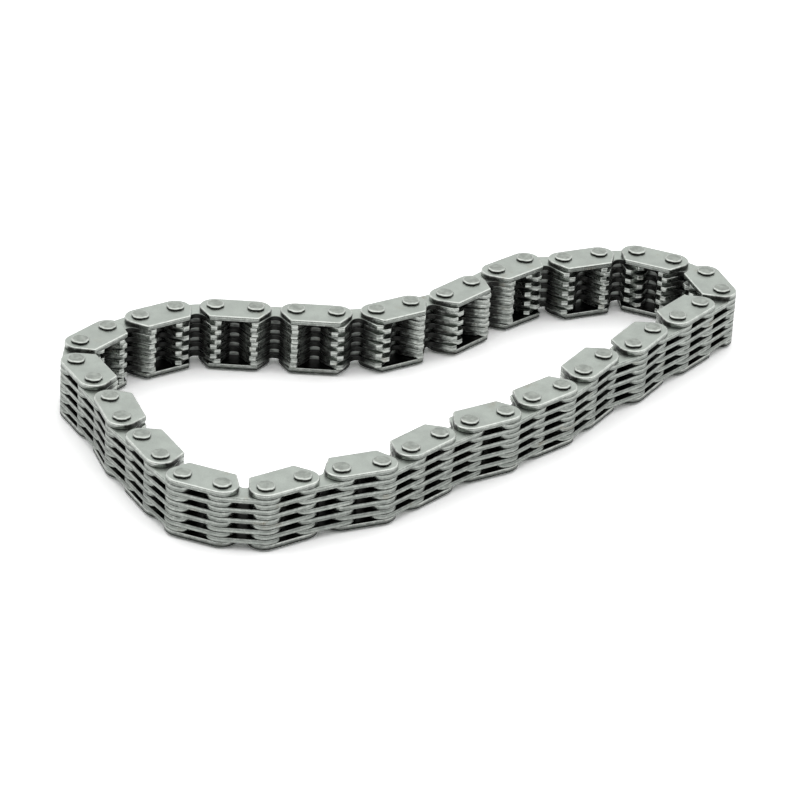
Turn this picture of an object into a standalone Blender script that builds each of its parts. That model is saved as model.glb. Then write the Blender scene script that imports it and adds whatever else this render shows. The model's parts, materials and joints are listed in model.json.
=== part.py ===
"""Silent timing chain lying on its side, with its pins upright and its teeth inside the loop.

Guide links and inner links take turns round the loop. A guide link has two guide plates and the
toothed plates of every other row between them. An inner link has the toothed plates of the rows
in between. A pin with two riveted heads passes through every joint.

Each link turns about its two pins. The links next to the root are its children on both sides, and
the loop stays whole because the guide links of one turning group cancel out at rest.
"""
import math

import bpy

# Chain, in metres
PITCH = 0.009525
PLATE_THICKNESS = 0.0012
PLATE_PLAY = 0.00006
INNER_PLATES = 5

# Round ends and flat back that every plate has. Next neighbours in one layer stand end to end.
END_GAP = 0.001725
END_RADIUS = (PITCH - END_GAP) / 2
BACK_CUT = 0.0003
BACK_REACH = END_RADIUS - BACK_CUT

# Toothed plate: two toes, past the round ends, with a notch between them for the sprocket's tooth
TOE_LENGTH = 0.0018
TOE_REACH = END_RADIUS + TOE_LENGTH
TOE_TIP_WIDTH = 0.0016
TOE_FLANK_ANGLE = 35.0
NOTCH_REACH = 0.0014
NOTCH_WIDTH = 0.0024

# Guide plate: no notch, with its flanks cut back to clear the next one in a bend
GUIDE_LENGTH = 0.0016
GUIDE_REACH = END_RADIUS + GUIDE_LENGTH
GUIDE_FLANK_ANGLE = 32.0

# Pins: a shank through the plates and a four-lobed riveted head at each end
SHANK_RADIUS = 0.0016
HOLE_CLEARANCE = 0.00005
HEAD_OVERHANG = 0.0005
HEAD_RADIUS = SHANK_RADIUS + HEAD_OVERHANG
HEAD_FLAT_DEPTH = 0.00012
HEAD_HEIGHT = 0.0006
HEAD_PLAY = 0.00006

# Facets: the shanks are hidden in the plates, so they have few
SHANK_SIDES = 5
HEAD_SIDES = 8
TOOTHED_END_STEPS = 2
GUIDE_END_STEPS = 3

# Rest pose, in degrees from +X, read off the photograph. The guide links of a group are spread
# evenly round the circle from the heading of the first one, so together they reach nowhere.
TURNING_GROUPS = [
    (-69, (2, 13)),
    (-21, (4, 14)),
    (35, (5, 21)),
    (24, (6, 15)),
    (49, (7, 17)),
    (33, (8, 18)),
    (44, (9, 16)),
    (54, (12, 22)),
    (-60, (1, 10, 19)),
    (-60, (3, 11, 20)),
]
INNER_HEADINGS = [
    -62, -57, -55, -2, 30, 49, 46, 51, 58, 42, 50,
    55, 144, -167, -170, -129, -147, -166, -179, -167, -138, -90,
]
CLOSING_LINKS = (4, 13)

# The joining link is the root of the motion. The loop is open between the two bodies opposite it.
LINK_PAIRS = len(INNER_HEADINGS)
BODY_COUNT = 2 * LINK_PAIRS
ROOT = 0
LAST_FORWARD = BODY_COUNT // 2

# Finish
PLATE_COLOR = (0.42, 0.43, 0.41, 1.0)
PIN_COLOR = (0.50, 0.50, 0.48, 1.0)
PLATE_ROUGHNESS = 0.42
PIN_ROUGHNESS = 0.32

LAYER_COUNT = 2 * INNER_PLATES + 1
LAYER_STEP = PLATE_THICKNESS + PLATE_PLAY
FIRST_LAYER = HEAD_HEIGHT + HEAD_PLAY
CHAIN_TOP = FIRST_LAYER + LAYER_COUNT * LAYER_STEP - PLATE_PLAY + HEAD_PLAY + HEAD_HEIGHT


def clear_scene():
    """Remove whatever the file holds."""
    for item in list(bpy.data.objects):
        bpy.data.objects.remove(item, do_unlink=True)


def steel(name, color, roughness):
    """A metal material with one colour."""
    material = bpy.data.materials.new(name)
    material.use_nodes = True
    shader = material.node_tree.nodes["Principled BSDF"]
    shader.inputs["Base Color"].default_value = color
    shader.inputs["Metallic"].default_value = 1.0
    shader.inputs["Roughness"].default_value = roughness
    return material


def guide_headings():
    """The heading of every guide link at rest, in radians, by its number."""
    headings = {}
    for first, members in TURNING_GROUPS:
        for place, number in enumerate(members):
            turn = math.radians(first) + place * math.tau / len(members)
            headings[number] = math.remainder(turn, math.tau)
    return headings


def inner_headings():
    """The heading of every inner link at rest, in radians, with two of them closing the loop."""
    headings = {number + 1: math.radians(value) for number, value in enumerate(INNER_HEADINGS)}
    others = [value for number, value in headings.items() if number not in CLOSING_LINKS]
    missing_x = -sum(math.cos(value) for value in others)
    missing_y = -sum(math.sin(value) for value in others)
    middle = math.atan2(missing_y, missing_x)
    spread = math.acos(math.hypot(missing_x, missing_y) / 2)
    first, second = CLOSING_LINKS
    side = math.copysign(1, math.remainder(headings[second] - headings[first], math.tau))
    headings[first] = math.remainder(middle - side * spread, math.tau)
    headings[second] = math.remainder(middle + side * spread, math.tau)
    return headings


def body_headings():
    """The headings of all bodies in order round the loop, a guide link first."""
    guides = guide_headings()
    inners = inner_headings()
    ordered = []
    for number in range(1, LINK_PAIRS + 1):
        ordered.append(guides[number])
        ordered.append(inners[number])
    return ordered


def pin_positions(headings):
    """The pin at the start of every body, with the first one at (0, 0)."""
    x = 0.0
    y = 0.0
    positions = []
    for heading in headings:
        positions.append((x, y))
        x += PITCH * math.cos(heading)
        y += PITCH * math.sin(heading)
    return positions


def end_arc(flank_angle, steps):
    """The round end of a plate about its pin, from the flat back to the flank."""
    start = -math.asin(BACK_REACH / END_RADIUS)
    end = math.radians(flank_angle)
    points = []
    for step in range(steps + 1):
        angle = start + (end - start) * step / steps
        points.append((PITCH / 2 + END_RADIUS * math.cos(angle), END_RADIUS * math.sin(angle)))
    return points


def flank_corner(flank_angle, reach):
    """Where a flank, a tangent of the round end, comes to its full reach towards the teeth."""
    angle = math.radians(flank_angle)
    return PITCH / 2 + (END_RADIUS - reach * math.sin(angle)) / math.cos(angle), reach


def mirrored(right_half):
    """A whole outline from its right half, moved so that the first pin is at the origin."""
    left_half = [(-x, y) for x, y in reversed(right_half)]
    return [(x + PITCH / 2, y) for x, y in right_half + left_half]


def toothed_outline():
    """Flat back, round ends, and two toes with a notch between them."""
    tip_outer = flank_corner(TOE_FLANK_ANGLE, TOE_REACH)
    tip_inner = (tip_outer[0] - TOE_TIP_WIDTH, TOE_REACH)
    notch = (NOTCH_WIDTH / 2, NOTCH_REACH)
    return mirrored(end_arc(TOE_FLANK_ANGLE, TOOTHED_END_STEPS) + [tip_outer, tip_inner, notch])


def guide_outline():
    """Flat back, round ends, and a straight front between two flanks."""
    front = flank_corner(GUIDE_FLANK_ANGLE, GUIDE_REACH)
    return mirrored(end_arc(GUIDE_FLANK_ANGLE, GUIDE_END_STEPS) + [front])


def round_outline(centre_x, radius, sides, flat_depth=0.0):
    """A regular outline about a pin, with every second corner drawn in by a flat's depth."""
    points = []
    for side in range(sides):
        angle = side * math.tau / sides
        reach = radius - flat_depth * (side % 2)
        points.append((centre_x + reach * math.cos(angle), reach * math.sin(angle)))
    return points


def hole_outline(centre_x):
    """A hole whose flats clear the shank's corners by the running clearance."""
    radius = (SHANK_RADIUS + HOLE_CLEARANCE) / math.cos(math.pi / SHANK_SIDES)
    return round_outline(centre_x, radius, SHANK_SIDES)


def solid(name, outline, low, high):
    """An object that is an outline raised from one height to another."""
    count = len(outline)
    corners = [(x, y, height) for height in (low, high) for x, y in outline]
    faces = [tuple(reversed(range(count))), tuple(range(count, 2 * count))]
    for corner in range(count):
        after = (corner + 1) % count
        faces.append((corner, after, after + count, corner + count))
    mesh = bpy.data.meshes.new(name)
    mesh.from_pydata(corners, [], faces)
    item = bpy.data.objects.new(name, mesh)
    bpy.context.scene.collection.objects.link(item)
    return item


def baked(name, base, joined=(), cut=()):
    """The mesh of a base object with others joined to it and others cut out of it."""
    for operation, tools in (("UNION", joined), ("DIFFERENCE", cut)):
        for tool in tools:
            modifier = base.modifiers.new(tool.name, "BOOLEAN")
            modifier.operation = operation
            modifier.object = tool
    depsgraph = bpy.context.evaluated_depsgraph_get()
    mesh = bpy.data.meshes.new_from_object(base.evaluated_get(depsgraph))
    mesh.name = name
    mesh.shade_smooth()
    mesh.set_sharp_from_angle(angle=math.radians(30))
    for item in (base, *joined, *cut):
        bpy.data.objects.remove(item, do_unlink=True)
    return mesh


def layer_height(layer):
    """The height of a layer's lower face, counted from 0 at the lower guide plate."""
    return FIRST_LAYER + layer * LAYER_STEP


def plate(layer):
    """One plate of a layer: the outermost are guide plates and the others toothed."""
    outermost = layer in (0, LAYER_COUNT - 1)
    outline = guide_outline() if outermost else toothed_outline()
    low = layer_height(layer)
    return solid("plate", outline, low, low + PLATE_THICKNESS)


def pin(centre_x):
    """The shank of a pin, and its two heads."""
    head_outline = round_outline(centre_x, HEAD_RADIUS, HEAD_SIDES, HEAD_FLAT_DEPTH)
    shank_outline = round_outline(centre_x, SHANK_RADIUS, SHANK_SIDES)
    inset = HEAD_HEIGHT / 2
    shank = solid("shank", shank_outline, inset, CHAIN_TOP - inset)
    lower_head = solid("head", head_outline, 0.0, HEAD_HEIGHT)
    upper_head = solid("head", head_outline, CHAIN_TOP - HEAD_HEIGHT, CHAIN_TOP)
    return shank, [lower_head, upper_head]


def hole(centre_x):
    """A cutter that makes the hole for a pin in every plate of a link."""
    cutter = solid("hole", hole_outline(centre_x), 0.0, CHAIN_TOP)
    cutter.display_type = "WIRE"
    cutter.hide_render = True
    return cutter


def guide_layers():
    """The layers that a guide link's plates lie in."""
    return range(0, LAYER_COUNT, 2)


def inner_layers():
    """The layers that an inner link's plates lie in."""
    return range(1, LAYER_COUNT, 2)


def link_mesh(name, layers, pins, holes):
    """A whole link: its plates on its own pins, with holes for its neighbours' pins."""
    shanks = []
    joined = []
    for centre_x in pins:
        shank, heads = pin(centre_x)
        shanks.append(shank)
        joined += heads
    joined = [plate(layer) for layer in layers] + shanks[1:] + joined
    return baked(name, shanks[0], joined, [hole(centre_x) for centre_x in holes])


def plate_mesh(name, layer):
    """A separate plate with both of its holes."""
    return baked(name, plate(layer), (), [hole(0.0), hole(PITCH)])


def pin_mesh(name, centre_x):
    """A separate pin."""
    shank, heads = pin(centre_x)
    return baked(name, shank, heads)


def joint_of(body):
    """How far along a body its own joint lies: at its start, or at its end on the way back."""
    return 0.0 if body <= LAST_FORWARD else PITCH


def body_name(body):
    """The name of a body, such as guide_link_07."""
    kind = "inner" if body % 2 else "guide"
    return f"{kind}_link_{body // 2 + 1:02d}"


def body_parts():
    """The meshes of every body, as lists of node name, mesh and material name."""
    guide = link_mesh("guide_link", guide_layers(), [0.0], [PITCH])
    last_guide = link_mesh("last_guide_link", guide_layers(), [0.0, PITCH], [])
    inner = link_mesh("inner_link", inner_layers(), [0.0], [PITCH])
    parts = {}
    for body in range(BODY_COUNT):
        mesh = inner if body % 2 else guide
        parts[body] = [(body_name(body), mesh, "plate")]
    parts[BODY_COUNT - 2] = [(body_name(BODY_COUNT - 2), last_guide, "plate")]
    parts[ROOT] = joining_parts()
    parts[1] = inner_row("first_inner_plate")
    parts[BODY_COUNT - 1] = inner_row("last_inner_plate")
    return parts


def joining_parts():
    """The joining link piece by piece: two guide plates, its toothed plates and two pins."""
    parts = []
    top = LAYER_COUNT - 1
    parts.append(("joining_guide_plate_lower", plate_mesh("joining_guide_plate_lower", 0), "plate"))
    for number, layer in enumerate(list(guide_layers())[1:-1], start=1):
        name = f"joining_toothed_plate_{number}"
        parts.append((name, plate_mesh(name, layer), "plate"))
    parts.append(("joining_guide_plate_upper", plate_mesh("joining_guide_plate_upper", top), "plate"))
    parts.append(("joining_pin_start", pin_mesh("joining_pin_start", 0.0), "pin"))
    parts.append(("joining_pin_end", pin_mesh("joining_pin_end", PITCH), "pin"))
    return parts


def inner_row(prefix):
    """The separate toothed plates of an inner link beside the joining link."""
    parts = []
    for number, layer in enumerate(inner_layers(), start=1):
        name = f"{prefix}_{number}"
        parts.append((name, plate_mesh(name, layer), "plate"))
    return parts


def loop_centre(positions, headings):
    """The middle of the loop's box, from the outlines of its guide plates and toothed plates."""
    corners_x = []
    corners_y = []
    for body, heading in enumerate(headings):
        outlines = toothed_outline() if body % 2 else toothed_outline() + guide_outline()
        for x, y in outlines:
            corners_x.append(positions[body][0] + x * math.cos(heading) - y * math.sin(heading))
            corners_y.append(positions[body][1] + x * math.sin(heading) + y * math.cos(heading))
    return (min(corners_x) + max(corners_x)) / 2, (min(corners_y) + max(corners_y)) / 2


def joint_positions():
    """The place of every pin, in order round the loop, and the heading of every body."""
    headings = body_headings()
    positions = pin_positions(headings)
    centre_x, centre_y = loop_centre(positions, headings)
    return [(x - centre_x, y - centre_y) for x, y in positions], headings


def place_body(body, parts, positions, headings, materials):
    """Put the pieces of a body on an empty that stands on the body's joint."""
    along = joint_of(body)
    heading = headings[body]
    x, y = positions[body]
    pivot = bpy.data.objects.new(f"pivot_of_{body_name(body)}", None)
    bpy.context.scene.collection.objects.link(pivot)
    pivot.empty_display_size = PITCH / 2
    pivot.location = (x + along * math.cos(heading), y + along * math.sin(heading), 0.0)
    pivot.rotation_euler = (0.0, 0.0, heading)
    for name, mesh, finish in parts:
        item = bpy.data.objects.new(name, mesh)
        bpy.context.scene.collection.objects.link(item)
        item.parent = pivot
        item.location = (-along, 0.0, 0.0)
        if not mesh.materials:
            mesh.materials.append(materials[finish])


def build():
    """Build the whole chain."""
    clear_scene()
    materials = {
        "plate": steel("plate_steel", PLATE_COLOR, PLATE_ROUGHNESS),
        "pin": steel("pin_steel", PIN_COLOR, PIN_ROUGHNESS),
    }
    positions, headings = joint_positions()
    for body, parts in body_parts().items():
        place_body(body, parts, positions, headings, materials)


build()
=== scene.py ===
"""Looks of a silent timing chain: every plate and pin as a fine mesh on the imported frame.

The plates are stamped sheet: a rolled-over rim, a smooth sheared band and a rougher torn band. The
pins are riveted in the guide plates and ride with them. All sizes that the frame holds are read
from it, and the rest are the constants and settings below.
"""
import json
import math
import random

import bmesh
import bpy
from bpy.props import FloatProperty, FloatVectorProperty, PointerProperty
from mathutils import Matrix, Vector

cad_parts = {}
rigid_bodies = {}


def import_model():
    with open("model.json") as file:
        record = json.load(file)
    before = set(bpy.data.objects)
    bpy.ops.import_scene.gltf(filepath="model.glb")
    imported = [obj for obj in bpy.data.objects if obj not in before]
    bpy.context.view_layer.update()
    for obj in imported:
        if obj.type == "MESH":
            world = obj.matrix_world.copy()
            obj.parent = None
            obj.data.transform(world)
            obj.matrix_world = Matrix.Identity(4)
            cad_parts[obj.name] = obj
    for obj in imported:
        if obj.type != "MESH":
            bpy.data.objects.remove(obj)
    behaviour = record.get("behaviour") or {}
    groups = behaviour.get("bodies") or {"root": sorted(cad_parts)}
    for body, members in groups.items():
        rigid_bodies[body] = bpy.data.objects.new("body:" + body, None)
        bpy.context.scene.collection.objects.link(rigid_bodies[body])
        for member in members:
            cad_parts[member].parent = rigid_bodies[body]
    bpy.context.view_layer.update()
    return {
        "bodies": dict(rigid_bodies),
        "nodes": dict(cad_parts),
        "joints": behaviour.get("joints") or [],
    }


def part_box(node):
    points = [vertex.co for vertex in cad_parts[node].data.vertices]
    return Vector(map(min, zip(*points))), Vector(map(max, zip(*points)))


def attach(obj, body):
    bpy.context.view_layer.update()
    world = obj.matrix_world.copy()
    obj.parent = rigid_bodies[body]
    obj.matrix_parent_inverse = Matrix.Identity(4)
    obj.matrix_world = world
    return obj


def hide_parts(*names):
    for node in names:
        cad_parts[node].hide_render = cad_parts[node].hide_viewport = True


bl_info = {
    "name": "Silent timing chain",
    "version": (1, 0, 0),
    "blender": (4, 5, 0),
    "location": "View3D > Sidebar > Chain",
    "description": "Builds the plates, pins and studio of a silent timing chain on its frame",
    "category": "Object",
}

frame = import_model()

LINKS = len(frame["bodies"])
INNER_ROWS = [f"first_inner_plate_{row}" for row in range(1, 6)]
GUIDE_ROWS = [f"joining_toothed_plate_{row}" for row in range(1, 5)]
LOWER_GUIDE = "joining_guide_plate_lower"
UPPER_GUIDE = "joining_guide_plate_upper"
FIRST_PIN = "joining_pin_start"
LAST_PIN = "joining_pin_end"
MM = 0.001


def link_name(place):
    """The body of the link at a place round the loop, counted from the joining link."""
    kind = "inner" if place % 2 else "guide"
    return f"{kind}_link_{place // 2 + 1:02d}"


def pin_places():
    """Where every link starts, and the pitch.

    The open pivot has no joint, so its place is one pitch from both pivots beside it.
    """
    places = {}
    for joint in frame["joints"]:
        number = int(joint["name"].removeprefix("pivot_")) % LINKS
        places[number] = Vector(joint["pos_m"]).to_2d()
    pitch = (places[2] - places[1]).length
    middle = sum(places.values(), Vector((0.0, 0.0))) / len(places)
    for number in set(range(LINKS)) - set(places):
        before = places[number - 1]
        after = places[(number + 1) % LINKS]
        between = (before + after) / 2
        rise = math.sqrt(pitch**2 - (between - before).length_squared)
        across = (after - before).orthogonal().normalized() * rise
        sides = (between + across, between - across)
        places[number] = max(sides, key=lambda side: (side - middle).length)
    return [places[number] for number in range(LINKS)], pitch


PIN_PLACES, PITCH = pin_places()


def heading(place):
    """The direction of a link, from its first pin to its second."""
    along = PIN_PLACES[(place + 1) % LINKS] - PIN_PLACES[place]
    return math.atan2(along.y, along.x)


def link_matrix(place, height=0.0):
    """A link's own axes: x from the middle of the link along it, y towards the teeth."""
    middle = (PIN_PLACES[place] + PIN_PLACES[(place + 1) % LINKS]) / 2
    spot = Matrix.Translation((middle.x, middle.y, height))
    return spot @ Matrix.Rotation(heading(place), 4, "Z")


def in_link(node, place):
    """The corners of a node of the frame in its link's own axes."""
    back = link_matrix(place).inverted()
    return [back @ corner.co for corner in frame["nodes"][node].data.vertices]


def span(node):
    """The lowest and highest height of a node of the frame."""
    low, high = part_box(node)
    return low.z, high.z


def reach(corners, side):
    """How far a plate reaches from its pin line, towards its back (-1) or its teeth (1)."""
    return max(side * corner.y for corner in corners)


GUIDE_CORNERS = in_link(UPPER_GUIDE, 0)
TOOTHED_CORNERS = in_link(GUIDE_ROWS[0], 0)
PIN_CORNERS = in_link(FIRST_PIN, 0)
BACK_REACH = reach(TOOTHED_CORNERS, -1)
TOE_REACH = reach(TOOTHED_CORNERS, 1)
GUIDE_REACH = reach(GUIDE_CORNERS, 1)
END_RADIUS = max(corner.x for corner in TOOTHED_CORNERS) - PITCH / 2
PLATE_THICKNESS = span(UPPER_GUIDE)[1] - span(UPPER_GUIDE)[0]
CHAIN_TOP = span(FIRST_PIN)[1]
HEAD_RADIUS = max((corner.to_2d() - Vector((-PITCH / 2, 0.0))).length for corner in PIN_CORNERS)

ARC_STEP = math.radians(12.0)
END_SIDES = 18
HOLE_SIDES = 24
HEAD_SIDES = 48
PUNCH_MARKS = 4
EDGE_BREAK = 0.06 * MM

# Where painted shade and highlight fade in, from none to full: by slope, by depth from the tips of
# the toes, by distance from a plate's middle line or pin line, and by height over a head's bottom
STEEP = (0.3, 0.75)
NOTCH_DEPTH = (0.6 * MM, 1.8 * MM)
BELOW_TIP = (0.5 * MM, 2.4 * MM)
AT_TIP = (0.45 * MM, 0.15 * MM)
NOTCH_ASIDE = (1.9 * MM, 1.5 * MM)
NOTCH_HALF_WIDTH = PITCH * 0.45
LAP_ASIDE = (2.0 * MM, 3.0 * MM)
LAP_BACK = (1.0 * MM, 0.0)
ROW_TOOTH_SIDE = (-0.5 * MM, 0.4 * MM)
GUIDE_TOOTH_SIDE = (-1.8 * MM, 0.4 * MM)
HEAD_FOOT = (0.42 * MM, 0.26 * MM)

# How strong the painted shade and highlight are on the rim of a plate, and the rim share and
# wear that they start from
RIM_START = 0.4
SEAM_START = 0.8
NOTCH_SHADE = 0.85
TIP_HIGHLIGHT = 0.62
SHEARED_TIP_HIGHLIGHT = 0.22
ROW_SEAM_SHADE = 0.46
GUIDE_SEAM_SHADE = 0.95

# The lap of two plates as bands of painted shade on their faces, from the pin line
BACK_BAND = (-1.8 * MM, -0.6 * MM)
TOOTH_BAND = (0.1 * MM, 0.7 * MM)
BAND_END = 1.0 * MM
TOOTHED_HALF_WIDTH = 3.0 * MM

# Shaders: how noise is shifted and stretched, where it mostly lies and where a mark comes of it
VARIATION_SHIFT = (0.9, 0.7, 0.5)
SCRATCH_STRETCHES = ((60.0, 1500.0, 60.0), (1300.0, 170.0, 60.0))
SHEARED_STRETCH = (2600.0, 2600.0, 130.0)
PATCH_STRETCH = (1.0, 1.0, 2.2)
NOISE_CORE = (0.3, 0.7)
NOISE_SPAN = (0.25, 0.75)
SCRATCH_NOISE = (0.66, 0.74)
SPECK_NOISE = (0.35, 0.7)
FILM_NOISE = (0.60, 0.78)
STRAY_NOISE = (0.38, 0.68)

# Shaders: how far noise breaks up the mesh's own marks, and where the sum shows, from none to full
WEAR_CHANGE = (-0.25, 0.15)
WEAR_FADE = (0.35, 1.0)
SHADE_CHANGE = (-0.18, 0.18)
SHADE_FADE = (0.15, 0.85)

# Shaders: the shades of one colour, and what wear, painted highlight and painted shade do to the
# steel
FACE_SHADES = (0.93, 1.07)
SHEARED_SHADES = (0.86, 1.14)
# The torn band is darker, partly as duller steel and partly as painted shade, being the lower half
# of the rim on a plate that isn't turned
TORN_SHADES = (0.50, 0.86)
PIN_SHADES = (0.72, 1.08)
SPECK_COLOR = (0.1, 0.1, 0.1)
SPECK_SHARE = 0.14
PIN_WEAR_SHADE = 0.88
WEAR_CLEARS_SHADE = -0.75
WEAR_SMOOTHING = -0.08
SHADE_ROUGHENING = 0.2
SHADE_METAL_LOSS = -0.35
CLOUD_ROUGHNESS = (-0.04, 0.05)
RING_ROUGHNESS = (-0.03, 0.05)
RING_DEPTH = 0.5
BUMP_DEPTH = 0.02 * MM

# The room's dim side ends and its bright side starts at these shares of the way to the back
ROOM_TURN = (-0.8, -0.2)


def number_setting(name, description, default):
    """A setting that is a plain number."""
    return FloatProperty(name=name, description=description, default=default)


def length_setting(name, description, default):
    """A setting that is a length."""
    return FloatProperty(name=name, description=description, default=default, unit="LENGTH")


def angle_setting(name, description, default):
    """A setting that is an angle."""
    return FloatProperty(name=name, description=description, default=default, subtype="ANGLE")


def share_setting(name, description, default):
    """A setting between 0 and 1."""
    return FloatProperty(name=name, description=description, default=default, subtype="FACTOR")


def color_setting(name, description, default):
    """A setting that is a colour."""
    return FloatVectorProperty(
        name=name, description=description, default=default, subtype="COLOR"
    )


class ChainPlateSettings(bpy.types.PropertyGroup):
    """Sizes of the stamped plates that the frame doesn't hold."""

    toe_flank_angle: angle_setting(
        "Toe flank angle",
        "Between the outer flank of a toe and the direction of the teeth",
        math.radians(35.0),
    )
    guide_flank_angle: angle_setting(
        "Guide flank angle",
        "Between the flank of a guide plate and the direction of the teeth",
        math.radians(32.0),
    )
    notch_angle: angle_setting(
        "Notch flank angle",
        "Between the inner flank of a toe and the direction of the teeth",
        math.radians(35.5),
    )
    notch_radius: length_setting("Notch radius", "Radius of the round top of the notch", 1.7 * MM)
    notch_reach: length_setting(
        "Notch reach", "From the pin line to the top of the notch", 1.4 * MM
    )
    tip_radius: length_setting("Toe tip radius", "Radius of the corners of a toe", 0.36 * MM)
    front_radius: length_setting(
        "Guide front radius", "Radius of the front corners of a guide plate", 0.55 * MM
    )
    hole_radius: length_setting("Hole radius", "Radius of the pin holes", 1.65 * MM)
    roll_over: length_setting(
        "Roll-over", "Radius of the rim on the side where the punch entered", 0.34 * MM
    )
    row_roll_over: length_setting(
        "Row roll-over", "The same radius on the toothed plates", 0.22 * MM
    )
    deburring: length_setting(
        "Deburring",
        "Radius of the rim on the other side, rounded in the tumbling barrel",
        0.12 * MM,
    )
    torn_depth: length_setting(
        "Torn band depth",
        "How far the torn band of the rim lies behind the sheared one",
        0.035 * MM,
    )
    sheared_share: share_setting("Sheared share", "Share of the thickness that is cut smooth", 0.5)
    face_margin: length_setting(
        "Face margin", "Width of the border that is worn beside the rim", 0.54 * MM
    )
    slack: length_setting(
        "Slack", "How far a plate may sit off its place within its running clearance", 0.02 * MM
    )


class ChainPinSettings(bpy.types.PropertyGroup):
    """Sizes of the riveted pins that the frame doesn't hold."""

    shank_radius: length_setting("Shank radius", "Radius of the pin between its heads", 1.6 * MM)
    chamfer: length_setting(
        "Head chamfer", "Width of the slope round the flat of a head", 0.46 * MM
    )
    undercut: length_setting(
        "Undercut", "How far a head is drawn in where it meets the plate", 0.2 * MM
    )
    head_spread: length_setting(
        "Head spread",
        "How far the lobes of a head stand out past the frame's plain one",
        0.04 * MM,
    )
    lobe_depth: length_setting(
        "Lobe depth", "How far the four punch marks draw the rim of a head in", 0.16 * MM
    )
    dish_depth: length_setting(
        "Dish depth", "How far the middle of a head lies below its border", 0.03 * MM
    )


class ChainFinishSettings(bpy.types.PropertyGroup):
    """Colours and finish of the steel, and of the painted shade and highlight on it."""

    plate_color: color_setting(
        "Plate colour", "Tumbled steel of the plate faces", (0.45, 0.49, 0.45)
    )
    edge_color: color_setting("Rim colour", "Cut steel of the plate rims", (0.38, 0.41, 0.38))
    # Painted shade on faces that lie between plates, where the gaps are dark
    sheltered_color: color_setting(
        "Sheltered colour",
        "Oiled hardening scale on faces that lie between plates",
        (0.02, 0.02, 0.018),
    )
    # Painted shade on the flanks, in the notches, at the seams and at the bottom of the pin heads
    dark_oil_color: color_setting(
        "Dark oil colour",
        "Old oil that stays on the flanks and in the notches",
        (0.012, 0.012, 0.011),
    )
    # Rubbed steel on rims and corners, and also the painted highlight on the toe tips
    worn_color: color_setting(
        "Worn colour", "Steel rubbed bright on rims and corners", (0.70, 0.73, 0.69)
    )
    oil_color: color_setting(
        "Oil colour", "Thin brown film left by the rust oil", (0.27, 0.22, 0.15)
    )
    pin_color: color_setting("Pin colour", "Ground steel of the pin heads", (0.37, 0.40, 0.365))
    plate_roughness: share_setting("Plate roughness", "Roughness of the plate faces", 0.36)
    pin_roughness: share_setting("Pin roughness", "Roughness of the pin heads", 0.34)
    # How strong the painted shade in the recesses and at the pin heads is
    recess_painted_shade: share_setting(
        "Oil in recesses", "How much dark oil the flanks and notches hold", 0.97
    )
    # Also how strong the painted highlight on the toe tips is
    wear: share_setting("Wear", "How bright rims and corners are rubbed", 0.8)


class ChainStudioSettings(bpy.types.PropertyGroup):
    """Floor, light and camera."""

    camera_elevation: angle_setting(
        "Camera elevation", "Height of the camera above the horizon", math.radians(28.49)
    )
    camera_roll: angle_setting(
        "Camera roll", "Tilt of the camera about its line of sight", math.radians(-3.36)
    )
    camera_distance: length_setting(
        "Camera distance", "From the camera to the point it aims at", 0.9205
    )
    camera_lens: number_setting(
        "Camera lens", "Focal length in millimetres on a 36 mm sensor", 183.3
    )
    aim_across: FloatVectorProperty(
        name="Aim from first pin",
        description="From the first pin of the joining link to the point the camera aims at",
        default=(74.396 * MM, -11.306 * MM),
        size=2,
        subtype="TRANSLATION",
        unit="LENGTH",
        precision=5,
    )
    floor_color: color_setting("Floor colour", "Plain paper under the chain", (0.86, 0.86, 0.86))
    floor_lift: number_setting(
        "Floor lift", "How much more light the paper gives back to the camera", 0.5
    )
    floor_glow: number_setting(
        "Floor glow", "How much more light the paper gives back to the steel", 0.1
    )
    room_strength: number_setting("Room", "Strength of the white room", 1.0)
    front_strength: number_setting(
        "Room front", "Strength of the dim side of the room, behind the camera", 0.35
    )
    lamp_power: number_setting(
        "Overhead lamp", "Power of the soft lamp over the chain, in watts", 7.0
    )
    lamp_size: length_setting("Overhead lamp size", "Side of the soft lamp", 2.2)
    lamp_height: length_setting(
        "Overhead lamp height", "Height of the soft lamp over the floor", 1.0
    )


def settings(kind):
    """The scene's settings of one kind, such as plates or studio."""
    return getattr(bpy.context.scene, f"chain_{kind}")


def rounded(corners):
    """The points of a closed outline whose corners (x, y, radius) are turned into arcs."""
    points = []
    for place, (x, y, radius) in enumerate(corners):
        here = Vector((x, y))
        if radius == 0.0:
            points.append(here)
            continue
        back = (Vector(corners[place - 1][:2]) - here).normalized()
        ahead = (Vector(corners[(place + 1) % len(corners)][:2]) - here).normalized()
        half = math.acos(max(-1.0, min(1.0, back.dot(ahead)))) / 2
        centre = here + (back + ahead).normalized() * radius / math.sin(half)
        start = here + back * radius / math.tan(half) - centre
        end = here + ahead * radius / math.tan(half) - centre
        first = math.atan2(start.y, start.x)
        turn = math.remainder(math.atan2(end.y, end.x) - first, math.tau)
        count = max(3, round(abs(turn) / ARC_STEP))
        for number in range(count + 1):
            angle = first + turn * number / count
            points.append(centre + radius * Vector((math.cos(angle), math.sin(angle))))
    return points


def end_corners(flank_angle):
    """The round end of a plate about its right pin, from the flat back to the flank."""
    corners = []
    for side in range(END_SIDES + 1):
        angle = -math.pi / 2 + (flank_angle + math.pi / 2) * side / END_SIDES
        depth = BACK_REACH if angle < 0 else END_RADIUS
        corners.append((PITCH / 2 + END_RADIUS * math.cos(angle), depth * math.sin(angle), 0.0))
    return corners


def flank_end(flank_angle, front):
    """How far out the tangent flank of a round end is where it comes to the plate's front."""
    return PITCH / 2 + (END_RADIUS - front * math.sin(flank_angle)) / math.cos(flank_angle)


def mirrored(right, middle=()):
    """A whole outline from the corners of its right half and those on the middle line."""
    left = [(-x, y, radius) for x, y, radius in reversed(right)]
    return rounded(list(right) + list(middle) + left)


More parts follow.
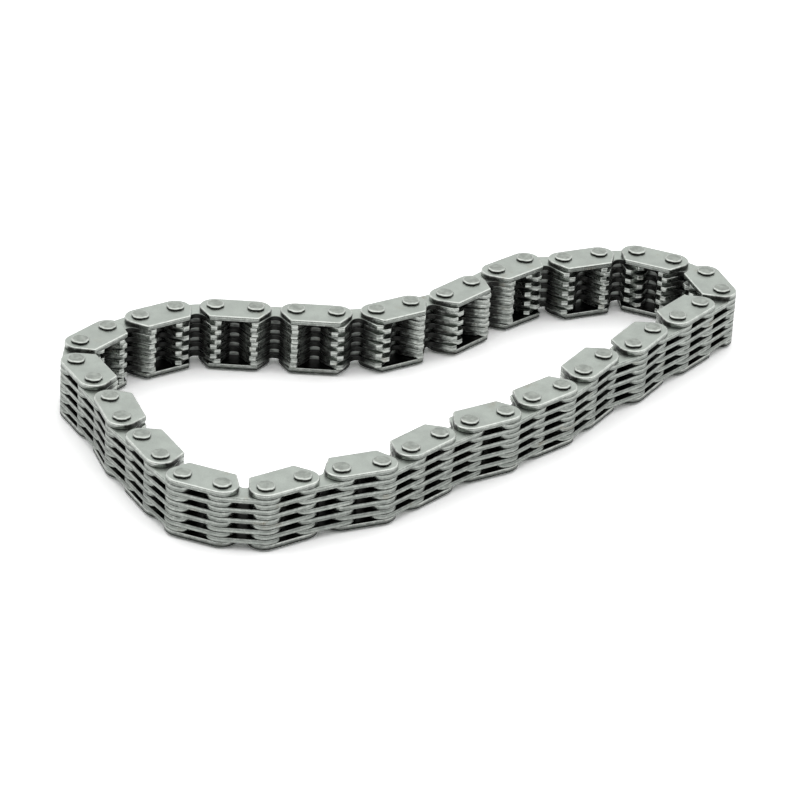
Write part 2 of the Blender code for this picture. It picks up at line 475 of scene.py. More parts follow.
def toothed_outline():
    """Flat back, round ends, and two toes with a round-topped notch between them."""
    plates = settings("plates")
    lean = plates.notch_angle
    apex = plates.notch_reach - plates.notch_radius * (1 / math.sin(lean) - 1)
    outer = (flank_end(plates.toe_flank_angle, TOE_REACH), TOE_REACH, plates.tip_radius)
    inner = ((TOE_REACH - apex) * math.tan(lean), TOE_REACH, plates.tip_radius)
    right = end_corners(plates.toe_flank_angle) + [outer, inner]
    return mirrored(right, [(0.0, apex, plates.notch_radius)])


def guide_outline():
    """Flat back, round ends, and a straight front between two flanks."""
    plates = settings("plates")
    front = (flank_end(plates.guide_flank_angle, GUIDE_REACH), GUIDE_REACH, plates.front_radius)
    return mirrored(end_corners(plates.guide_flank_angle) + [front])


def drawn_in(outline, distance):
    """A counter-clockwise outline moved towards its inside by a distance."""
    moved = []
    for place, here in enumerate(outline):
        before = (here - outline[place - 1]).normalized()
        after = (outline[(place + 1) % len(outline)] - here).normalized()
        inward = Vector((-before.y - after.y, before.x + after.x))
        moved.append(here + inward * distance / (1 + before.dot(after)))
    return moved


def circle(centre_x, radius, sides):
    """The points of a circle about a pin, clockwise, as a hole in a plate needs them."""
    points = []
    for side in range(sides):
        angle = -math.tau * side / sides
        points.append(Vector((centre_x + radius * math.cos(angle), radius * math.sin(angle))))
    return points


def add_ring(bm, points, height, layers=(), values=()):
    """Corners of one ring, with their values of the mesh's own attributes."""
    ring = []
    for point in points:
        corner = bm.verts.new((point.x, point.y, height))
        for layer, value in zip(layers, values):
            corner[layer] = value
        ring.append(corner)
    return ring


def join_rings(bm, rings):
    """The faces between every ring and the next, which has as many corners."""
    for lower, upper in zip(rings, rings[1:]):
        for place in range(len(lower)):
            after = (place + 1) % len(lower)
            bm.faces.new((lower[place], lower[after], upper[after], upper[place]))


def rim_profile(roll_over):
    """The rim from the lower face to the upper one: inset, height, wear, sheared and rim share.

    Its two rounded edges are given as degrees of turn from the face, each with its wear.
    """
    plates = settings("plates")
    torn = plates.torn_depth
    sheared = PLATE_THICKNESS * (1 - plates.sheared_share)
    all_rim = 60.0
    profile = [(plates.face_margin, 0.0, 0.0, 0.0, 0.0)]
    for degrees, wear in ((0.0, 0.5), (30.0, 0.9), (60.0, 1.0), (90.0, 0.6)):
        angle = math.radians(degrees)
        inset = torn + plates.deburring * (1 - math.sin(angle))
        height = plates.deburring * (1 - math.cos(angle))
        profile.append((inset, height, wear, 0.0, min(1.0, degrees / all_rim)))
    profile.append((torn, sheared - EDGE_BREAK, 0.3, 0.0, 1.0))
    profile.append((0.0, sheared, 0.5, 1.0, 1.0))
    for degrees, wear in ((90.0, 0.6), (62.0, 0.9), (35.0, 1.0), (0.0, 0.6)):
        angle = math.radians(degrees)
        inset = roll_over * (1 - math.sin(angle))
        height = PLATE_THICKNESS - roll_over * (1 - math.cos(angle))
        rim = min(1.0, degrees / all_rim)
        profile.append((inset, height, wear, rim, rim))
    profile.append((plates.face_margin, PLATE_THICKNESS, 0.0, 0.0, 0.0))
    return profile


def smooth_step(value, low, high):
    """A value spread from a range to 0 and 1, smooth at both ends."""
    share = max(0.0, min(1.0, (value - low) / (high - low)))
    return share * share * (3.0 - 2.0 * share)


def recesses(outline, tooth_side):
    """For each point of an outline: how sheltered, how far in the notch, lapped or at a tip."""
    # These shares place painted shade on flanks, in notches and at laps, and a painted highlight
    # at the tips
    shares = []
    for place, here in enumerate(outline):
        along = (outline[(place + 1) % len(outline)] - outline[place - 1]).normalized()
        aside = abs(here.x)
        depth = TOE_REACH - here.y
        flank = smooth_step(abs(along.y), *STEEP)
        notch = smooth_step(depth, *NOTCH_DEPTH) * smooth_step(aside, *NOTCH_ASIDE)
        sheltered = smooth_step(here.y, *tooth_side) * smooth_step(depth, *BELOW_TIP)
        sheltered *= max(flank, notch)
        inside = sheltered if aside < NOTCH_HALF_WIDTH else 0.0
        lapped = smooth_step(aside, *LAP_ASIDE) * smooth_step(here.y, *LAP_BACK)
        shares.append((sheltered, inside, lapped, smooth_step(depth, *AT_TIP)))
    return shares


def hole_rings(bm, centre_x):
    """The rings of one hole from below to above, with both edges broken."""
    radius = settings("plates").hole_radius
    steps = [(4 * EDGE_BREAK, 0.0), (EDGE_BREAK, 0.0), (0.0, EDGE_BREAK)]
    steps += [(grow, PLATE_THICKNESS - height) for grow, height in reversed(steps)]
    rings = []
    for grow, height in steps:
        rings.append(add_ring(bm, circle(centre_x, radius + grow, HOLE_SIDES), height))
    join_rings(bm, rings)
    return rings


def plate_mesh(name, outline, roll_over, in_row=False, inner_up=False):
    """A stamped plate with its rim, two faces and two holes, lying on height 0.

    The plates in a row are the toothed ones, whose toe tips get a painted highlight. Flanks,
    notches and seams get painted shade. The outermost plates lie on others with one face, the
    inner one, which is the lower one unless inner_up says other.
    """
    bm = bmesh.new()
    layers = [bm.verts.layers.float.new(label) for label in ("wear", "sheared", "rim", "recess")]
    inner = bm.verts.layers.float.new("inner")
    low_part = PLATE_THICKNESS / 4
    shares = recesses(outline, ROW_TOOTH_SIDE if in_row else GUIDE_TOOTH_SIDE)
    rings = []
    for inset, height, wear, sheared, rim in rim_profile(roll_over):
        ring = add_ring(bm, drawn_in(outline, inset), height)
        for corner, (sheltered, inside, lapped, at_tip) in zip(ring, shares):
            # Wear, with a painted highlight at the toe tips, dulled by painted shade in the notch;
            # lapped seams of rows and low edges of guide plates get painted shade
            bright = wear * (1.0 - NOTCH_SHADE * inside)
            if in_row and rim > RIM_START:
                bright = max(bright, (TIP_HIGHLIGHT + SHEARED_TIP_HIGHLIGHT * sheared) * at_tip)
            seam = ROW_SEAM_SHADE * lapped if in_row else GUIDE_SEAM_SHADE * (height < low_part)
            recess = sheltered
            if wear > SEAM_START or inner_up:
                bright *= 1.0 - seam
                recess = max(sheltered, seam)
            for layer, value in zip(layers, (bright, sheared, rim, recess)):
                corner[layer] = value
        rings.append(ring)
    join_rings(bm, rings)
    lower_edges = loop_edges(rings[0])
    upper_edges = loop_edges(rings[-1])
    for centre_x in (-PITCH / 2, PITCH / 2):
        hole = hole_rings(bm, centre_x)
        lower_edges += loop_edges(hole[0])
        upper_edges += loop_edges(hole[-1])
    for edges in (lower_edges, upper_edges):
        bmesh.ops.triangle_fill(bm, use_beauty=True, use_dissolve=False, edges=edges)
    for corner in bm.verts:
        depth = PLATE_THICKNESS - corner.co.z if inner_up else corner.co.z
        corner[inner] = 1.0 if depth < low_part else 0.0
    return finished_mesh(bm, name)


def loop_edges(ring):
    """The edges of a ring of corners."""
    edges = []
    for place, corner in enumerate(ring):
        pair = {corner, ring[place - 1]}
        edges += [edge for edge in corner.link_edges if set(edge.verts) == pair]
    return edges


def finished_mesh(bm, name):
    """A mesh from a bmesh, shaded smooth with its broad faces kept flat."""
    bmesh.ops.recalc_face_normals(bm, faces=bm.faces)
    normals = []
    for corner in bm.verts:
        total = sum((face.normal * face.calc_area() for face in corner.link_faces), Vector())
        normals.append(total.normalized())
    mesh = bpy.data.meshes.new(name)
    bm.to_mesh(mesh)
    bm.free()
    mesh.shade_smooth()
    mesh.normals_split_custom_set_from_vertices(normals)
    return mesh


def head_outline(radius, share):
    """A head's border, drawn in at four punch marks. The share is how much of them shows."""
    depth = settings("pins").lobe_depth * share
    points = []
    for side in range(HEAD_SIDES):
        angle = math.tau * side / HEAD_SIDES
        out = radius - depth * max(0.0, math.cos(PUNCH_MARKS * angle)) ** 2
        points.append(Vector((out * math.cos(angle), out * math.sin(angle))))
    return points


def pin_profile():
    """Half a pin from its middle up to the middle of its head: radius, height, wear, lobes.

    Heights on a head are shares of how tall it is, and the last column is how much of the punch
    marks shows.
    """
    pins = settings("pins")
    seat = span(UPPER_GUIDE)[1] - CHAIN_TOP / 2
    top = CHAIN_TOP / 2
    tall = top - seat
    wide = HEAD_RADIUS + pins.head_spread
    border = wide - pins.chamfer
    return [
        (pins.shank_radius, 0.0, 0.0, 0.0),
        (pins.shank_radius, seat, 0.0, 0.0),
        (wide - pins.undercut, seat, 0.0, 0.3),
        (wide - 0.03 * MM, seat + 0.42 * tall, 0.0, 0.8),
        (wide, seat + 0.58 * tall, 0.5, 1.0),
        (wide - 0.22 * pins.chamfer, seat + 0.76 * tall, 1.0, 1.0),
        (wide - 0.58 * pins.chamfer, seat + 0.91 * tall, 0.75, 1.0),
        (border, seat + 0.98 * tall, 0.4, 1.0),
        (border - 0.10 * MM, top, 0.1, 0.8),
        (border - 0.30 * MM, top - 0.2 * pins.dish_depth, 0.0, 0.5),
        (0.45 * border, top - 0.8 * pins.dish_depth, 0.0, 0.1),
        (0.15 * border, top - pins.dish_depth, 0.0, 0.0),
    ]


def pin_mesh(name):
    """A riveted pin with its middle at height 0."""
    bm = bmesh.new()
    layers = [bm.verts.layers.float.new("wear"), bm.verts.layers.float.new("foot_shade")]
    upper = pin_profile()
    lower = [(radius, -height, wear, lobes) for radius, height, wear, lobes in reversed(upper[1:])]
    seat = upper[1][1]
    rings = []
    for radius, height, wear, lobes in lower + upper[1:]:
        # Painted shade on the lowest part of each head, where it meets the plate
        foot_shade = smooth_step(abs(height) - seat, *HEAD_FOOT)
        rings.append(add_ring(bm, head_outline(radius, lobes), height, layers, (wear, foot_shade)))
    join_rings(bm, rings)
    bm.faces.new(rings[-1])
    bm.faces.new(reversed(rings[0]))
    return finished_mesh(bm, name)


def new_group(name, inputs, outputs):
    """An empty shader node group of float values: its tree, its inputs and its last node."""
    tree = bpy.data.node_groups.new(name, "ShaderNodeTree")
    for label, default in inputs:
        socket = tree.interface.new_socket(label, in_out="INPUT", socket_type="NodeSocketFloat")
        socket.default_value = default
    for label in outputs:
        tree.interface.new_socket(label, in_out="OUTPUT", socket_type="NodeSocketFloat")
    entry = tree.nodes.new("NodeGroupInput").outputs
    return tree, entry, tree.nodes.new("NodeGroupOutput")


def with_outputs(tree, leave, **values):
    """A node group's tree with a value linked to each of its outputs."""
    for label, value in values.items():
        tree.links.new(value, leave.inputs[label])
    return tree


def add_node(tree, kind, **values):
    """A node with its properties set, and its inputs set or linked by name or number."""
    node = tree.nodes.new(f"ShaderNode{kind}")
    inputs = values.pop("inputs", {})
    for label, value in values.items():
        setattr(node, label, value)
    for label, value in inputs.items():
        if isinstance(value, bpy.types.NodeSocket):
            tree.links.new(value, node.inputs[label])
        else:
            node.inputs[label].default_value = value
    return node


def math_node(tree, operation, first, second=0.0, third=0.0, clamp=False):
    """The result of a Math node."""
    inputs = {0: first, 1: second, 2: third}
    return add_node(tree, "Math", operation=operation, use_clamp=clamp, inputs=inputs).outputs[0]


def remap(tree, value, low, high, new_low=0.0, new_high=1.0):
    """A value spread from one range to another, clamped and smooth at both ends."""
    inputs = dict(enumerate((value, low, high, new_low, new_high)))
    node = add_node(tree, "MapRange", interpolation_type="SMOOTHSTEP", inputs=inputs)
    return node.outputs["Result"]


def vector_math(tree, operation, *values):
    """The result of a Vector Math node."""
    inputs = dict(enumerate(values))
    return add_node(tree, "VectorMath", operation=operation, inputs=inputs).outputs[0]


def blend(tree, factor, first, second):
    """A value between two."""
    inputs = {0: factor, 2: first, 3: second}
    return add_node(tree, "Mix", data_type="FLOAT", inputs=inputs).outputs[0]


def piece_coordinates(tree, stretch=(1.0, 1.0, 1.0)):
    """The piece's own coordinates, shifted for every piece so that no two look alike."""
    own = add_node(tree, "TexCoord").outputs["Object"]
    variation = add_node(tree, "Attribute", attribute_type="OBJECT", attribute_name="variation")
    shifted = vector_math(tree, "MULTIPLY_ADD", variation.outputs["Vector"], VARIATION_SHIFT, own)
    return vector_math(tree, "MULTIPLY", shifted, stretch)


def noise(tree, coordinates, scale, detail=2.0, roughness=0.5):
    """The factor of a noise texture."""
    inputs = {"Vector": coordinates, "Scale": scale, "Detail": detail, "Roughness": roughness}
    return add_node(tree, "TexNoise", inputs=inputs).outputs["Fac"]


def attribute(tree, name):
    """A value that the mesh holds at its corners."""
    return add_node(tree, "Attribute", attribute_name=name).outputs["Fac"]


def tumbled_grain():
    """Steel out of the tumbling barrel: soft clouds, a fine peened grain and stray scratches."""
    inputs = [("Cloud Scale", 260.0), ("Grain Scale", 5200.0), ("Scratch Strength", 0.5)]
    tree, entry, leave = new_group("tumbled_grain", inputs, ["Cloud", "Grain", "Height"])
    plain = piece_coordinates(tree)
    cloud = noise(tree, plain, entry["Cloud Scale"], 3.0, 0.6)
    grain = noise(tree, plain, entry["Grain Scale"], 3.0, 0.65)
    scratches = []
    for stretch in SCRATCH_STRETCHES:
        lines = noise(tree, piece_coordinates(tree, stretch), 2.0)
        scratches.append(remap(tree, lines, *SCRATCH_NOISE))
    scratch = math_node(tree, "MAXIMUM", *scratches)
    scratch = math_node(tree, "MULTIPLY", scratch, entry["Scratch Strength"])
    height = math_node(tree, "SUBTRACT", grain, scratch)
    return with_outputs(tree, leave, Cloud=cloud, Grain=grain, Height=height)


def cut_rim():
    """The cut rim of sheet: fine lines across it in the sheared band, crumbs in the torn one."""
    inputs = [("Sheared", 0.0), ("Line Scale", 1.6), ("Crumb Scale", 3400.0)]
    inputs += [("Patch Scale", 620.0), ("Patch Share", 0.6)]
    tree, entry, leave = new_group("cut_rim", inputs, ["Tone", "Height"])
    across = piece_coordinates(tree, SHEARED_STRETCH)
    lines = noise(tree, across, entry["Line Scale"], 2.0, 0.6)
    crumbs = noise(tree, piece_coordinates(tree), entry["Crumb Scale"], 4.0, 0.7)
    patched = piece_coordinates(tree, PATCH_STRETCH)
    patches = noise(tree, patched, entry["Patch Scale"], 3.0, 0.6)
    fine = blend(tree, entry["Sheared"], crumbs, lines)
    tone = blend(tree, entry["Patch Share"], fine, patches)
    return with_outputs(tree, leave, Tone=tone, Height=fine)


def wear_and_highlight():
    """Where a rim is rubbed bright, and where a toe tip gets a painted highlight: the mesh's own
    wear, broken up by noise.
    """
    inputs = [("Wear", 0.0), ("Amount", 0.8), ("Patch Scale", 900.0)]
    tree, entry, leave = new_group("wear_and_highlight", inputs, ["Mask"])
    broken = noise(tree, piece_coordinates(tree), entry["Patch Scale"], 3.0, 0.6)
    broken = remap(tree, broken, *NOISE_SPAN, *WEAR_CHANGE)
    mask = remap(tree, math_node(tree, "ADD", entry["Wear"], broken), *WEAR_FADE)
    mask = math_node(tree, "MULTIPLY", mask, entry["Amount"], clamp=True)
    return with_outputs(tree, leave, Mask=mask)


def oil_film():
    """Thin brown film in stray patches."""
    tree, entry, leave = new_group("oil_film", [("Amount", 0.5), ("Patch Scale", 170.0)], ["Mask"])
    patches = noise(tree, piece_coordinates(tree), entry["Patch Scale"], 4.0, 0.65)
    mask = remap(tree, patches, *FILM_NOISE)
    mask = math_node(tree, "MULTIPLY", mask, entry["Amount"], clamp=True)
    return with_outputs(tree, leave, Mask=mask)


def recess_painted_shade():
    """Painted shade on the flanks and in the notches, thinned out by noise."""
    inputs = [("Recess", 0.0), ("Rim", 0.0), ("Patch Scale", 1100.0)]
    tree, entry, leave = new_group("recess_painted_shade", inputs, ["Mask"])
    stray = noise(tree, piece_coordinates(tree), entry["Patch Scale"], 3.0, 0.6)
    stray = remap(tree, stray, *NOISE_SPAN, *SHADE_CHANGE)
    depth = remap(tree, math_node(tree, "ADD", entry["Recess"], stray), *SHADE_FADE)
    return with_outputs(tree, leave, Mask=math_node(tree, "MULTIPLY", depth, entry["Rim"]))


def lap_face_shade():
    """Painted shade on a face that lies on another plate, thin in the open gap at its pins."""
    inputs = [("Inner", 1.0), ("Rim", 0.0), ("Half Width", TOOTHED_HALF_WIDTH)]
    inputs += [("Patch Scale", 420.0), ("Patch Strength", 0.7)]
    tree, entry, leave = new_group("lap_face_shade", inputs, ["Mask"])
    own = add_node(tree, "TexCoord").outputs["Object"]
    axes = add_node(tree, "SeparateXYZ", inputs={0: own}).outputs
    at_back = remap(tree, axes["Y"], *BACK_BAND, 1.0, 0.0)
    aside = math_node(tree, "ABSOLUTE", axes["X"])
    aside = math_node(tree, "SUBTRACT", entry["Half Width"], aside)
    at_teeth = remap(tree, axes["Y"], *TOOTH_BAND)
    at_teeth = math_node(tree, "MULTIPLY", at_teeth, remap(tree, aside, 0.0, BAND_END))
    stray = noise(tree, piece_coordinates(tree), entry["Patch Scale"])
    stray = remap(tree, stray, *STRAY_NOISE, 0.0, entry["Patch Strength"])
    cover = math_node(tree, "MAXIMUM", math_node(tree, "MAXIMUM", at_back, at_teeth), stray)
    face = math_node(tree, "SUBTRACT", 1.0, entry["Rim"])
    mask = math_node(tree, "MULTIPLY", cover, face)
    mask = math_node(tree, "MULTIPLY", mask, entry["Inner"], clamp=True)
    return with_outputs(tree, leave, Mask=mask)


def group_node(tree, maker, **inputs):
    """The outputs of a placed node group, built the first time that it is asked for."""
    node = tree.nodes.new("ShaderNodeGroup")
    node.node_tree = bpy.data.node_groups.get(maker.__name__) or maker()
    for label, value in inputs.items():
        socket = node.inputs[label.replace("_", " ").title()]
        if isinstance(value, bpy.types.NodeSocket):
            tree.links.new(value, socket)
        else:
            socket.default_value = value
    return node.outputs


def mixed(tree, factor, first, second):
    """A colour between two, each a socket or three numbers."""
    inputs = {0: factor, 6: first, 7: second}
    for number in (6, 7):
        if not isinstance(inputs[number], bpy.types.NodeSocket):
            inputs[number] = (*inputs[number], 1.0)
    return add_node(tree, "Mix", data_type="RGBA", inputs=inputs).outputs[2]


def shades(color, *factors):
    """A colour once for every factor, made lighter or darker by it."""
    return [tuple(channel * factor for channel in color) for factor in factors]


def steel_base(name):
    """A metal material with its tree and shader."""
    material = bpy.data.materials.new(name)
    material.use_nodes = True
    tree = material.node_tree
    shader = tree.nodes["Principled BSDF"]
    shader.inputs["Metallic"].default_value = 1.0
    return material, tree, shader


def set_surface(tree, shader, color, roughness, height):
    """Links a steel's colour, its roughness and the height of its fine bump."""
    inputs = {"Strength": 0.35, "Distance": BUMP_DEPTH, "Height": height}
    bump = add_node(tree, "Bump", inputs=inputs)
    tree.links.new(color, shader.inputs["Base Color"])
    tree.links.new(roughness, shader.inputs["Roughness"])
    tree.links.new(bump.outputs["Normal"], shader.inputs["Normal"])


def plate_material(name, tone, oil, rim_shade=1.0, between=False, half_width=TOOTHED_HALF_WIDTH):
    """Stamped plate: tumbled faces, a cut rim, bright edges and a trace of oil, with painted light
    and shade.

    A face that lies on another plate is painted dark as shade. Plates between others have two such
    faces, and the outermost ones have one. The flanks, notches and seams get painted shade too,
    and the toe tips a painted highlight.
    """
    finish = settings("finish")
    material, tree, shader = steel_base(name)
    on_rim = attribute(tree, "rim")
    sheared = attribute(tree, "sheared")
    wear = attribute(tree, "wear")
    recess = attribute(tree, "recess")
    inner = 1.0 if between else attribute(tree, "inner")
    grain = group_node(tree, tumbled_grain)
    rim = group_node(tree, cut_rim, sheared=sheared)
    # Rubbed rims, and the painted highlight on the toe tips that the wear attribute also holds
    worn = group_node(tree, wear_and_highlight, wear=wear, amount=finish.wear)["Mask"]
    film = group_node(tree, oil_film, amount=oil)["Mask"]
    # Painted shade on the flanks, in the notches and at the seams, lifted where the rim is worn
    dark = group_node(tree, recess_painted_shade, recess=recess, rim=on_rim)["Mask"]
    dark = math_node(tree, "MULTIPLY", dark, finish.recess_painted_shade)
    kept = math_node(tree, "MULTIPLY_ADD", worn, WEAR_CLEARS_SHADE, 1.0)
    dark = math_node(tree, "MULTIPLY", dark, kept, clamp=True)
    # Painted shade on a face that lies on another plate
    lap_shade = group_node(tree, lap_face_shade, inner=inner, rim=on_rim, half_width=half_width)["Mask"]
    (plate,) = shades(finish.plate_color, tone)
    # A rim's colour darkened as painted shade, most on the lower guide plates by the floor
    (edge,) = shades(finish.edge_color, tone * rim_shade)
    cloud = remap(tree, grain["Cloud"], *NOISE_CORE)
    face_color = mixed(tree, cloud, *shades(plate, *FACE_SHADES))
    speck = remap(tree, grain["Grain"], *SPECK_NOISE, SPECK_SHARE, 0.0)
    face_color = mixed(tree, speck, face_color, SPECK_COLOR)
    patch = remap(tree, rim["Tone"], *NOISE_CORE)
    sheared_color = mixed(tree, patch, *shades(edge, *SHEARED_SHADES))
    # The torn band is darker, partly as duller steel and partly as painted shade on the lower half
    # of the rim
    torn_color = mixed(tree, patch, *shades(edge, *TORN_SHADES))
    rim_color = mixed(tree, sheared, torn_color, sheared_color)
    color = mixed(tree, on_rim, face_color, rim_color)
    color = mixed(tree, worn, color, finish.worn_color)
    color = mixed(tree, film, color, finish.oil_color)
    color = mixed(tree, lap_shade, color, finish.sheltered_color)
    color = mixed(tree, dark, color, finish.dark_oil_color)
    bare = math_node(tree, "MULTIPLY_ADD", dark, SHADE_METAL_LOSS, 1.0, clamp=True)
    tree.links.new(bare, shader.inputs["Metallic"])
    rough = remap(tree, grain["Cloud"], *NOISE_CORE, *CLOUD_ROUGHNESS)
    rough = math_node(tree, "ADD", rough, finish.plate_roughness)
    for mask, amount in ((worn, WEAR_SMOOTHING), (on_rim, WEAR_SMOOTHING), (dark, SHADE_ROUGHENING)):
        rough = math_node(tree, "MULTIPLY_ADD", mask, amount, rough)
    height = blend(tree, on_rim, grain["Height"], rim["Height"])
    set_surface(tree, shader, color, rough, height)
    return material


def pin_material(name):
    """Riveted pin: ground steel with faint rings from the riveting tool, a bright border, and
    painted shade at the bottom of each head.
    """
    finish = settings("finish")
    material, tree, shader = steel_base(name)
    wear = attribute(tree, "wear")
    grain = group_node(tree, tumbled_grain, cloud_scale=700.0)
    worn = group_node(tree, wear_and_highlight, wear=wear, amount=finish.wear)["Mask"]
    film = group_node(tree, oil_film, amount=0.25, patch_scale=420.0)["Mask"]
    own = add_node(tree, "TexCoord").outputs["Object"]
    inputs = {"Vector": own, "Scale": 900.0, "Distortion": 3.0, "Detail": 2.0}
    wave = add_node(tree, "TexWave", wave_type="RINGS", rings_direction="Z", inputs=inputs)
    rings = wave.outputs["Fac"]
    cloud = remap(tree, grain["Cloud"], *NOISE_CORE)
    color = mixed(tree, cloud, *shades(finish.pin_color, *PIN_SHADES))
    color = mixed(tree, worn, color, *shades(finish.worn_color, PIN_WEAR_SHADE))
    color = mixed(tree, film, color, finish.oil_color)
    # Painted shade at the bottom of each head, where it meets the plate
    foot_shade = math_node(tree, "MULTIPLY", attribute(tree, "foot_shade"), finish.recess_painted_shade)
    color = mixed(tree, foot_shade, color, finish.dark_oil_color)
    rough = remap(tree, rings, 0.0, 1.0, *RING_ROUGHNESS)
    rough = math_node(tree, "ADD", rough, finish.pin_roughness)
    rough = math_node(tree, "MULTIPLY_ADD", worn, WEAR_SMOOTHING, rough)
    height = math_node(tree, "MULTIPLY_ADD", rings, RING_DEPTH, grain["Height"])
    set_surface(tree, shader, color, rough, height)
    return material


def place_piece(name, mesh, matrix, body, draws, nodes):
    """One plate or pin on its body, standing for the frame's nodes that hold it."""
    piece = bpy.data.objects.new(name, mesh)
    bpy.context.scene.collection.objects.link(piece)
    piece.matrix_world = matrix
    piece["variation"] = draws.random()
    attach(piece, body)
    if nodes:
        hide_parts(*nodes)


def plate_matrix(place, height, turned, draws):
    """Where a plate lies on its link: its height, which side is up, and a little slack."""
    slack = settings("plates").slack
    shift = Matrix.Translation((draws.uniform(-slack, slack), draws.uniform(-slack, slack), 0.0))
    matrix = link_matrix(place, height) @ shift
    if turned:
        upside = Matrix.Translation((0.0, 0.0, PLATE_THICKNESS)) @ Matrix.Rotation(math.pi, 4, "Y")
        matrix = matrix @ upside
    return matrix


def lay_rows(kind, rows, places, materials):
    """The toothed plates of every link at these places, one for each row of the frame."""
    meshes = {}
    roll_over = settings("plates").row_roll_over
    for material in materials:
        name = material.name
        if name not in meshes:
            meshes[name] = plate_mesh(f"{name}_plate", toothed_outline(), roll_over, in_row=True)
            meshes[name].materials.append(material)
    draws = random.Random(kind)
    for place in places:
        body = link_name(place)
        for row, (node, material) in enumerate(zip(rows, materials), start=1):
            height = span(node)[0]
            turned = row == 1 or (row < len(rows) and draws.random() < 0.5)
            matrix = plate_matrix(place, height, turned, draws)
            own = {0: node, 1: node, LINKS - 1: f"last_inner_plate_{row}"}.get(place, body)
            mesh = meshes[material.name]
            name = f"toothed_plate_{body}_{row}"
            place_piece(name, mesh, matrix, body, draws, [own])


class CHAIN_OT_guide_plates(bpy.types.Operator):
    """Build the upper and lower guide plates of every guide link"""

    bl_idname = "chain.guide_plates"
    bl_label = "Guide plates"

    def execute(self, context):
        meshes = {}
        roll_over = settings("plates").roll_over
        # The rims of the lower guide plates are painted darker than the upper ones, as shade by
        # the floor
        for side, rim_shade in (("lower", 0.6), ("upper", 0.92)):
            name = f"{side}_guide_steel"
            steel = plate_material(name, 1.0, oil=0.35, rim_shade=rim_shade, half_width=PITCH)
            name = f"{side}_guide_plate"
            mesh = plate_mesh(name, guide_outline(), roll_over, inner_up=side == "lower")
            mesh.materials.append(steel)
            meshes[side] = mesh
        draws = random.Random("guide")
        for place in range(0, LINKS, 2):
            body = link_name(place)
            for side, node in (("lower", LOWER_GUIDE), ("upper", UPPER_GUIDE)):
                mesh = meshes[side]
                matrix = plate_matrix(place, span(node)[0], False, draws)
                own = body if place else node
                name = f"guide_plate_{side}_{place // 2 + 1:02d}"
                place_piece(name, mesh, matrix, body, draws, [own])
        return {"FINISHED"}


class CHAIN_OT_toothed_plates(bpy.types.Operator):
    """Build the rows of toothed plates of every guide link and every inner link"""

    bl_idname = "chain.toothed_plates"
    bl_label = "Toothed plates"

    def execute(self, context):
        guide = plate_material("guide_row_steel", tone=0.98, oil=0.6, between=True)
        lay_rows("guide", GUIDE_ROWS, range(0, LINKS, 2), [guide] * len(GUIDE_ROWS))
        inner = plate_material("inner_row_steel", tone=1.0, oil=0.6, between=True)
        outer = plate_material("outer_row_steel", tone=1.03, oil=0.5)
        lay_rows("inner", INNER_ROWS, range(1, LINKS, 2), [outer] + [inner] * 3 + [outer])
        return {"FINISHED"}


class CHAIN_OT_pins(bpy.types.Operator):
    """Build the two riveted pins of every guide link"""

    bl_idname = "chain.pins"
    bl_label = "Pins"

    def execute(self, context):
        mesh = pin_mesh("riveted_pin")
        mesh.materials.append(pin_material("pin_steel"))
        draws = random.Random("pins")
        for place in range(0, LINKS, 2):
            body = link_name(place)
            for end, along, node in (("start", -0.5, FIRST_PIN), ("end", 0.5, LAST_PIN)):
                spot = Matrix.Translation((along * PITCH, 0.0, 0.0))
                turn = Matrix.Rotation(draws.uniform(0.0, math.tau), 4, "Z")
                matrix = link_matrix(place, CHAIN_TOP / 2) @ spot @ turn
                own = node if place == 0 else body
                carried = [own] if place == 0 or end == "start" or place == LINKS - 2 else []
                name = f"pin_{end}_{place // 2 + 1:02d}"
                place_piece(name, mesh, matrix, body, draws, carried)
        return {"FINISHED"}


def floor_material():
    """Plain paper, so white where it is seen that only the shadow close to the chain shows."""
    studio = settings("studio")
    material = bpy.data.materials.new("paper")
    material.use_nodes = True
    tree = material.node_tree
    output = tree.nodes["Material Output"]
    paper = tree.nodes["Principled BSDF"]
    paper.inputs["Base Color"].default_value = (*studio.floor_color, 1.0)
    paper.inputs["Roughness"].default_value = 0.9
    paper.inputs["Specular IOR Level"].default_value = 0.1
    rays = add_node(tree, "LightPath").outputs
    metal = math_node(tree, "MAXIMUM", rays["Is Glossy Ray"], rays["Is Transmission Ray"])
    more = mixed(tree, rays["Is Camera Ray"], (0.0, 0.0, 0.0), (studio.floor_lift,) * 3)
    more = mixed(tree, metal, more, (studio.floor_glow,) * 3)
    lift = add_node(tree, "BsdfDiffuse", inputs={"Color": more})
    both = add_node(tree, "AddShader", inputs={0: paper.outputs[0], 1: lift.outputs[0]})
    tree.links.new(both.outputs[0], output.inputs["Surface"])
    return material


def camera_axes():
    """The camera's right, up and back directions."""
    studio = settings("studio")
    rise = studio.camera_elevation
    right = Vector((1.0, 0.0, 0.0))
    up = Vector((0.0, math.sin(rise), math.cos(rise)))
    back = Vector((0.0, -math.cos(rise), math.sin(rise)))
    cosine, sine = math.cos(studio.camera_roll), math.sin(studio.camera_roll)
    return cosine * right - sine * up, sine * right + cosine * up, back


def room_light():
    """A white room, darker on the side where the camera stands."""
    studio = settings("studio")
    world = bpy.data.worlds.new("room_light")
    bpy.context.scene.world = world
    world.use_nodes = True
    tree = world.node_tree
    room = tree.nodes["Background"]
    room.inputs["Color"].default_value = (1.0, 1.0, 1.0, 1.0)
    direction = add_node(tree, "TexCoord").outputs["Generated"]
    towards_back = add_node(tree, "SeparateXYZ", inputs={0: direction}).outputs["Y"]
    strength = remap(tree, towards_back, *ROOM_TURN, studio.front_strength, studio.room_strength)
    tree.links.new(strength, room.inputs["Strength"])


